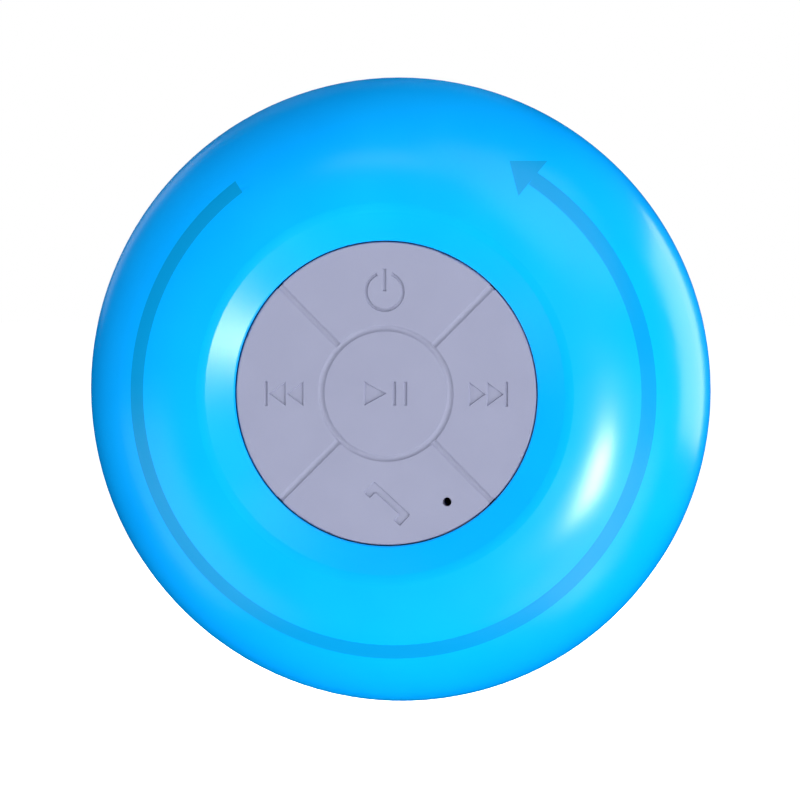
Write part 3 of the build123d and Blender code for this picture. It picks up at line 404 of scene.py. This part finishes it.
mesh = new_finish("woven_stainless_wire", {"Metallic": 0.9, "Roughness": 0.36})
wires = crossed(mesh, 0.5)
shade(mesh, {
    # The near-black end of this ramp is painted shade in the holes between the wires.
    "Base Color": ramp(mesh, wires, "#08090a", "#8f9296", 0.45, 0.62),
    "Normal": relief(mesh, wires, 0.12),
})
finishes["mesh"] = mesh

# %% [markdown]
# ## The loudspeaker's paper, cloth, copper and ferrite
#
# The cone is black pulp pressed on a screen, matt, with short fibres. The spider is cotton stiffened with
# resin, a tan weave of threads about half a millimetre apart. The coil is enamelled copper wire, wound in
# turns a quarter of a millimetre apart, on a former of amber polyimide film. The magnet is sintered
# ferrite: dark grey, dull, with a rough ground face and small lighter specks.

# %% Paper and cloth
paper = new_finish("pressed_pulp", {"IOR": 1.5, "Sheen Weight": 0.15, "Sheen Roughness": 0.5})
fibres = add(paper, "ShaderNodeTexNoise", {
    "Vector": place(paper), "Scale": repeats(0.4), "Detail": 5.0, "Distortion": 3.0})
shade(paper, {
    "Base Color": tint(paper, 0.8, "#1d1d20", "#2a2a2d"),
    "Roughness": drift(paper, 2, 0.84, 0.94),
    "Normal": relief(paper, fibres.outputs[0], 0.03),
})
finishes["cone_paper"] = paper

cloth = new_finish("resined_cotton", {"IOR": 1.5})
weave = crossed(cloth, 0.5, distortion=0.4)
shade(cloth, {
    # The ramp makes the weave darker where its threads dip: painted shade in the hollows between threads.
    "Base Color": ramp(cloth, weave, "#7d5526", "#c0904e"),
    "Roughness": drift(cloth, 2, 0.62, 0.78),
    "Normal": relief(cloth, weave, 0.06),
})
finishes["spider_cloth"] = cloth

# %% Copper, film and ferrite
copper = new_finish("enamelled_copper", {"Metallic": 1.0, "Coat Weight": 0.5, "Coat Roughness": 0.15})
turns = add(copper, "ShaderNodeTexWave", {"Vector": place(copper), "Scale": waves(0.25)}, bands_direction="Y")
shade(copper, {
    "Base Color": tint(copper, 1.5, "#b8602c", "#c87238"),
    "Roughness": drift(copper, 1, 0.29, 0.37),
    "Normal": relief(copper, turns.outputs["Fac"], 0.06),
})
finishes["copper"] = copper

finishes["former_foil"] = moulding("polyimide_film", "#9c5a14", "#ab6a1e", 0.22, 1.5, 0.003, ior=1.7)

ferrite = new_finish("sintered_ferrite", {"IOR": 1.6})
specks = add(ferrite, "ShaderNodeTexVoronoi", {"Vector": place(ferrite), "Scale": repeats(0.5)})
shade(ferrite, {
    "Base Color": ramp(ferrite, specks.outputs["Distance"], "#57595d", "#36373b", 0.1, 0.3),
    "Roughness": drift(ferrite, 2, 0.68, 0.82),
    "Normal": grain(ferrite, 0.2, 0.02, detail=5.0),
})
finishes["ferrite"] = ferrite

# %% [markdown]
# ## The circuit boards
#
# The boards are glass-epoxy under green solder mask. The mask lies over copper tracks a few hundredths of
# a millimetre thick, so the tracks show as slightly raised, paler lines, and here and there a small gold
# pad is left bare. A brick pattern gives the tracks, two millimetres apart, and its joints are their
# lines. A Voronoi pattern scatters the pads: where a point is close to a cell's middle, it is gold.

# %% Solder mask
board = new_finish("green_solder_mask", {"IOR": 1.55, "Coat Weight": 0.4, "Coat Roughness": 0.12})
laid = add(board, "ShaderNodeMapping", {"Vector": place(board), "Rotation": (pi / 2, 0, 0)})
tracks = add(board, "ShaderNodeTexBrick", {
    "Vector": laid.outputs[0],
    "Color1": srgb("#0d5a2f"), "Color2": srgb("#0f6234"), "Mortar": srgb("#1f8049"), "Scale": 1.0,
    "Mortar Size": 0.15 * MM, "Brick Width": 5.5 * MM, "Row Height": 2.0 * MM,
})
PAD_SPACING, PAD_REACH = 3.2, 0.12   # millimetres, and a part of that spacing
pads = add(board, "ShaderNodeTexVoronoi", {"Vector": place(board), "Scale": repeats(PAD_SPACING)})
bare = add(board, "ShaderNodeMath", {0: pads.outputs["Distance"], 1: PAD_REACH}, operation="LESS_THAN")
faces = add(board, "ShaderNodeMix", {
    "Factor": bare.outputs[0], 6: tracks.outputs["Color"], 7: srgb("#cda64e")}, data_type="RGBA")
shade(board, {
    "Base Color": faces.outputs[2],
    "Metallic": bare.outputs[0],
    "Roughness": drift(board, 3, 0.28, 0.38),
    "Normal": relief(board, tracks.outputs["Fac"], 0.035),
})
finishes["board_green"] = board

# %% [markdown]
# ## Battery, foam, flat cable and lamp
#
# The battery is a pouch cell: aluminium foil between two plastic films, satin silver with soft creases.
# It stands on a pad of open-celled foam, whose cells are about half a millimetre wide. The flat cable is
# amber polyimide over copper conductors half a millimetre apart, which show through as darker stripes.
# The charging lamp is a drop of clear epoxy.

# %% Battery and foam
pouch = new_finish("laminated_foil", {"Metallic": 0.85})
creases = add(pouch, "ShaderNodeTexNoise", {
    "Vector": place(pouch), "Scale": repeats(6), "Detail": 4.0, "Distortion": 1.5})
shade(pouch, {
    "Base Color": tint(pouch, 5, "#aeb2b8", "#bcc0c4"),
    "Roughness": drift(pouch, 4, 0.34, 0.46),
    "Normal": relief(pouch, creases.outputs[0], 0.15),
})
finishes["battery_wrap"] = pouch

foam = new_finish("open_celled_foam", {"IOR": 1.45})
cells = add(foam, "ShaderNodeTexVoronoi", {"Vector": place(foam), "Scale": repeats(0.5)})
shade(foam, {
    "Base Color": tint(foam, 0.5, "#2f3033", "#3d3e42"),
    "Roughness": drift(foam, 1, 0.86, 0.96),
    "Normal": relief(foam, cells.outputs["Distance"], 0.2, invert=True),
})
finishes["foam"] = foam

# %% Flat cable and lamp
ribbon = new_finish("polyimide_flat_cable", {"IOR": 1.7})
strips = add(ribbon, "ShaderNodeTexWave", {"Vector": place(ribbon), "Scale": waves(0.5)}, bands_direction="X")
shade(ribbon, {
    "Base Color": ramp(ribbon, strips.outputs["Fac"], "#c27b1d", "#8f4f12", 0.4, 0.6),
    "Roughness": drift(ribbon, 2, 0.29, 0.37),
    "Normal": relief(ribbon, strips.outputs["Fac"], 0.02),
})
finishes["ribbon_amber"] = ribbon

drop = new_finish("clear_epoxy", {"IOR": 1.5, "Transmission Weight": 0.6})
shade(drop, {
    "Base Color": tint(drop, 0.6, "#e4efe8", "#f0f6f2"),
    "Roughness": drift(drop, 0.5, 0.1, 0.2),
    "Normal": grain(drop, 0.5, 0.004),
})
finishes["led_lens"] = drop

# %% [markdown]
# ## Every part gets its finish
#
# The record names a finish for each part. Only the material slot changes: the parts' shapes stay as they
# came.

# %% Dress the parts
for part in frame["record"]["subparts"]:
    mesh_data = parts[part["node"]].data
    mesh_data.materials.clear()
    mesh_data.materials.append(finishes[part["material_slot"]])
print(len(parts), "parts wear", len(finishes), "finishes")

sheet = moulding("floor_paper", "#fbfbfb", "#ffffff", 0.9, 0.5, 0.005)
shade(sheet, {"Emission Color": (1, 1, 1, 1), "Emission Strength": 1.0})
floor.data.materials.append(sheet)

# %% [markdown]
# ## The web between the keys
#
# On the real keypad the keys and the grooves between them are one sheet of silicone. The keys came in as
# separate parts, because each one moves, with a hairline gap round it. A thin web in the grooves closes
# those gaps, with a soft hollow along its middle. It lies a little behind the keys' faces and reaches
# just under their rounded edges. A ring is made by extruding a circle outwards a step at a time, dipping
# and rising as it goes. A straight piece is a plane, divided across, whose middle rows are pushed back.
# Four copies of it run out from the ring.

# %% Sizes of the grooves
KEY_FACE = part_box("key_play_pause")[0].y
CENTRE_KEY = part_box("key_play_pause")[1].x
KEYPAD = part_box("key_next")[1].x
GROOVE = 0.55 * MM
TUCK = 0.06 * MM            # how far the web reaches under a key's edge
EDGE_DROP, MIDDLE_DROP = 0.12 * MM, 0.26 * MM
WEB_WALL = 0.3 * MM
WEB_WIDTH = GROOVE + 2 * TUCK
STEPS = 8


def web_drop(across):
    """How far behind the keys' faces the web lies, from 0 at one edge to 1 at the other."""
    return EDGE_DROP + (MIDDLE_DROP - EDGE_DROP) * sin(pi * across)


print("groove", round(GROOVE / MM, 2), "mm round a key of radius", round(CENTRE_KEY / MM, 2), "mm")

# %% The ring
bpy.ops.object.select_all(action="DESELECT")
ring_radius = CENTRE_KEY - TUCK
bpy.ops.mesh.primitive_circle_add(
    vertices=192, radius=ring_radius, location=(0, KEY_FACE + EDGE_DROP, 0), rotation=(pi / 2, 0, 0))
web = bpy.context.object
bpy.ops.object.transform_apply()
bpy.ops.object.mode_set(mode="EDIT")
for step in range(1, STEPS + 1):
    rise = web_drop(step / STEPS) - web_drop((step - 1) / STEPS)
    wider = (ring_radius + WEB_WIDTH / STEPS) / ring_radius
    bpy.ops.mesh.extrude_edges_move(TRANSFORM_OT_translate={"value": (0, rise, 0)})
    bpy.ops.transform.resize(value=(wider, 1, wider), center_override=(0, KEY_FACE, 0))
    ring_radius += WEB_WIDTH / STEPS
bpy.ops.object.mode_set(mode="OBJECT")
print("ring out to", round(ring_radius / MM, 2), "mm")

# %% One straight piece
bar_start, bar_end = CENTRE_KEY + GROOVE, KEYPAD - 0.1 * MM
bpy.ops.object.select_all(action="DESELECT")
bpy.ops.mesh.primitive_plane_add(
    size=1, location=((bar_start + bar_end) / 2, KEY_FACE + EDGE_DROP, 0), rotation=(pi / 2, 0, 0))
bar = bpy.context.object
bar.scale = (bar_end - bar_start, WEB_WIDTH, 1)
bpy.ops.object.transform_apply()
bpy.ops.object.mode_set(mode="EDIT")
bpy.ops.mesh.subdivide(number_cuts=STEPS - 1)
for step in range(1, STEPS):
    row = (step / STEPS - 0.5) * WEB_WIDTH
    bpy.ops.object.mode_set(mode="OBJECT")
    for vertex in bar.data.vertices:
        vertex.select = abs(vertex.co.z - row) < 0.01 * MM
    for edge in bar.data.edges:
        edge.select = False
    for face in bar.data.polygons:
        face.select = False
    bpy.ops.object.mode_set(mode="EDIT")
    bpy.ops.mesh.select_mode(type="VERT")
    bpy.ops.transform.translate(value=(0, web_drop(step / STEPS) - EDGE_DROP, 0))
bpy.ops.object.mode_set(mode="OBJECT")

# %% Four of them, joined to the ring
def join(pieces):
    """Makes several pieces one, which keeps the place of the first."""
    bpy.ops.object.select_all(action="DESELECT")
    for piece in pieces:
        piece.select_set(True)
    bpy.context.view_layer.objects.active = pieces[0]
    bpy.ops.object.join()


bars = [bar]
for _ in range(3):
    copy = bar.copy()
    copy.data = bar.data.copy()
    bpy.context.scene.collection.objects.link(copy)
    bars.append(copy)
for number, piece in enumerate(bars):
    piece.rotation_euler = (0, radians(45 + 90 * number), 0)
join([web, *bars])
bpy.ops.object.transform_apply()
web.name = "keypad_web"

# %% [markdown]
# The web is still a skin with no thickness. Its faces are turned towards the keys' side, and Solidify
# gives it a wall behind them.

# %% Thicken the web
def face_forwards(piece):
    """Turns a skin's faces to -Y."""
    for face in piece.data.polygons:
        face.select = face.normal.y > 0
    bpy.ops.object.mode_set(mode="EDIT")
    bpy.ops.mesh.select_mode(type="FACE")
    bpy.ops.mesh.flip_normals()
    bpy.ops.object.mode_set(mode="OBJECT")


def apply_modifier(piece, name, kind, **settings):
    """Adds a modifier and applies it."""
    modifier = piece.modifiers.new(name, kind)
    for key, value in settings.items():
        setattr(modifier, key, value)
    bpy.context.view_layer.objects.active = piece
    bpy.ops.object.modifier_apply(modifier=name)


def complete(piece, name, body, slot, angle=40):
    """Names a piece, smooths it, and gives it its body and its finish."""
    piece.name = piece.data.name = name
    bpy.ops.object.select_all(action="DESELECT")
    piece.select_set(True)
    bpy.context.view_layer.objects.active = piece
    bpy.ops.object.transform_apply()
    bpy.ops.object.shade_smooth_by_angle(angle=radians(angle))
    if not piece.data.materials:
        piece.data.materials.append(finishes[slot])
    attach(piece, body)
    print(name, len(piece.data.polygons), "faces,", [round(v / MM, 1) for v in piece.dimensions], "mm")


face_forwards(web)
apply_modifier(web, "wall", "SOLIDIFY", thickness=WEB_WALL, offset=-1)
complete(web, "keypad_web", "speaker", "keypad", angle=60)

# %% [markdown]
# ## Chip parts on the circuit board
#
# A board like this carries a couple of dozen chip resistors and capacitors, each a block of ceramic as
# long as a grain of rice is wide, with a tinned cap on both ends. One is modelled from a cube: its two
# end faces are extruded into the caps, which get the tinned finish. The rest are copies, laid in the
# spaces between the larger parts. Known fault: the bevel comes out with no width, so the edges stay
# sharp, and one end has an extra layer of faces inside it.

# %% One chip part
BOARD_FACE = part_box("circuit_board")[1].y
CHIP_LENGTH, CHIP_WIDTH, CHIP_HEIGHT, CHIP_CAP = 1.1 * MM, 0.8 * MM, 0.55 * MM, 0.25 * MM

finishes["ceramic"] = moulding("fired_ceramic", "#7f6a52", "#8e7860", 0.5, 0.1, 0.004)

bpy.ops.object.select_all(action="DESELECT")
bpy.ops.mesh.primitive_cube_add(size=1)
chip = bpy.context.object
chip.scale = (CHIP_LENGTH, CHIP_HEIGHT, CHIP_WIDTH)
bpy.ops.object.transform_apply()
chip.data.materials.append(finishes["ceramic"])
chip.data.materials.append(finishes["shield_can"])
for end in (-1, 1):
    for face in chip.data.polygons:
        face.select = face.normal.x * end > 0.9 and face.center.x * end > CHIP_LENGTH * 0.49
    bpy.ops.object.mode_set(mode="EDIT")
    bpy.ops.mesh.select_mode(type="FACE")
    bpy.ops.mesh.extrude_region_move(TRANSFORM_OT_translate={"value": (end * CHIP_CAP, 0, 0)})
    bpy.ops.object.mode_set(mode="OBJECT")
for face in chip.data.polygons:
    face.material_index = 1 if abs(face.center.x) > CHIP_LENGTH / 2 + 0.01 * MM else 0
apply_modifier(chip, "edges", "BEVEL", width=0.05 * MM, segments=2, limit_method="ANGLE")

# %% [markdown]
# A place is X and Z in millimetres, and every third chip is turned a quarter round on the board.

# %% The rest of them
CHIP_PLACES = [
    (-3, 11), (-5.5, 11), (6.5, 5), (6.5, 2.5), (9.5, 5), (9.5, 2.5), (-12, 5), (-12, 7.5), (-2, 1.5),
    (1, 1.5), (4, 1.5), (-14, -6), (-14, -8.5), (11, -8), (11, -10.5), (8.5, -13.5), (-8.5, -13.5), (-6, 14),
]
chips = []
for number, (x, z) in enumerate(CHIP_PLACES):
    copy = chip.copy()
    copy.data = chip.data.copy()
    bpy.context.scene.collection.objects.link(copy)
    copy.location = (x * MM, BOARD_FACE + CHIP_HEIGHT / 2, z * MM)
    copy.rotation_euler = (0, pi / 2 * (number % 3 == 0), 0)
    chips.append(copy)
bpy.data.objects.remove(chip)
join(chips)
complete(chips[0], "chip_parts", "speaker", "shield_can", angle=30)

# %% [markdown]
# ## Solder on the loudspeaker's tags
#
# Each lead ends in a small cone of solder with a hollow flank, where the molten metal drew up the wire.
# It is a cone with a waist: a bisect cuts its wall across, and the new ring is drawn in.

# %% Solder joints
SOLDER_RADIUS, SOLDER_TIP, SOLDER_HEIGHT = 0.85 * MM, 0.52 * MM, 1.0 * MM
WAIST_HEIGHT, WAIST = 0.4, 0.82      # parts of the cone's height and of its width
joints = []
for lead in ("speaker_lead_red", "speaker_lead_black"):
    low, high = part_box(lead)
    foot = Vector((low.x + 0.5 * MM, high.y, (low.z + high.z) / 2))
    bpy.ops.object.select_all(action="DESELECT")
    bpy.ops.mesh.primitive_cone_add(
        vertices=32, radius1=SOLDER_RADIUS, radius2=SOLDER_TIP, depth=SOLDER_HEIGHT,
        location=(foot.x, foot.y - SOLDER_HEIGHT / 2, foot.z), rotation=(pi / 2, 0, 0))
    joint = bpy.context.object
    bpy.ops.object.transform_apply()
    bpy.ops.object.mode_set(mode="EDIT")
    bpy.ops.mesh.select_all(action="SELECT")
    bpy.ops.mesh.bisect(plane_co=(foot.x, foot.y - SOLDER_HEIGHT * WAIST_HEIGHT, foot.z), plane_no=(0, 1, 0))
    bpy.ops.transform.resize(value=(WAIST, 1, WAIST), center_override=foot)
    bpy.ops.object.mode_set(mode="OBJECT")
    apply_modifier(joint, "soft", "BEVEL", width=0.06 * MM, segments=3, limit_method="ANGLE")
    joints.append(joint)
join(joints)
complete(joints[0], "solder_joints", "speaker", "shield_can")

# %% [markdown]
# ## Tape round the battery
#
# A turn of amber polyimide tape holds the battery's leads down. It follows the battery's rounded edges,
# so it is made from a copy of the battery itself: the copy is cut by two planes, its ends are taken away,
# what is left is lifted a hair off the battery, and Solidify gives it the tape's thickness.

# %% Battery tape
TAPE_WIDTH, TAPE_THICKNESS = 7.0 * MM, 0.06 * MM
TAPE_ASIDE, TAPE_LIFT = 7.0 * MM, 0.2    # from the battery's middle, and a part of its thickness
battery_low, battery_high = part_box("battery")
middle = (battery_low.x + battery_high.x) / 2 - TAPE_ASIDE

tape = parts["battery"].copy()
tape.data = parts["battery"].data.copy()
tape.parent = None
bpy.context.scene.collection.objects.link(tape)
bpy.ops.object.select_all(action="DESELECT")
tape.select_set(True)
bpy.context.view_layer.objects.active = tape
bpy.ops.object.mode_set(mode="EDIT")
bpy.ops.mesh.select_all(action="SELECT")
bpy.ops.mesh.remove_doubles(threshold=0.001 * MM)
for side in (-1, 1):
    bpy.ops.mesh.select_all(action="SELECT")
    bpy.ops.mesh.bisect(
        plane_co=(middle + side * TAPE_WIDTH / 2, 0, 0), plane_no=(side, 0, 0), clear_outer=True)
bpy.ops.mesh.select_all(action="SELECT")
bpy.ops.transform.shrink_fatten(value=TAPE_THICKNESS * TAPE_LIFT)
bpy.ops.object.mode_set(mode="OBJECT")
tape.data.materials.clear()
apply_modifier(tape, "film", "SOLIDIFY", thickness=TAPE_THICKNESS, offset=1)
complete(tape, "battery_tape", "speaker", "former_foil")
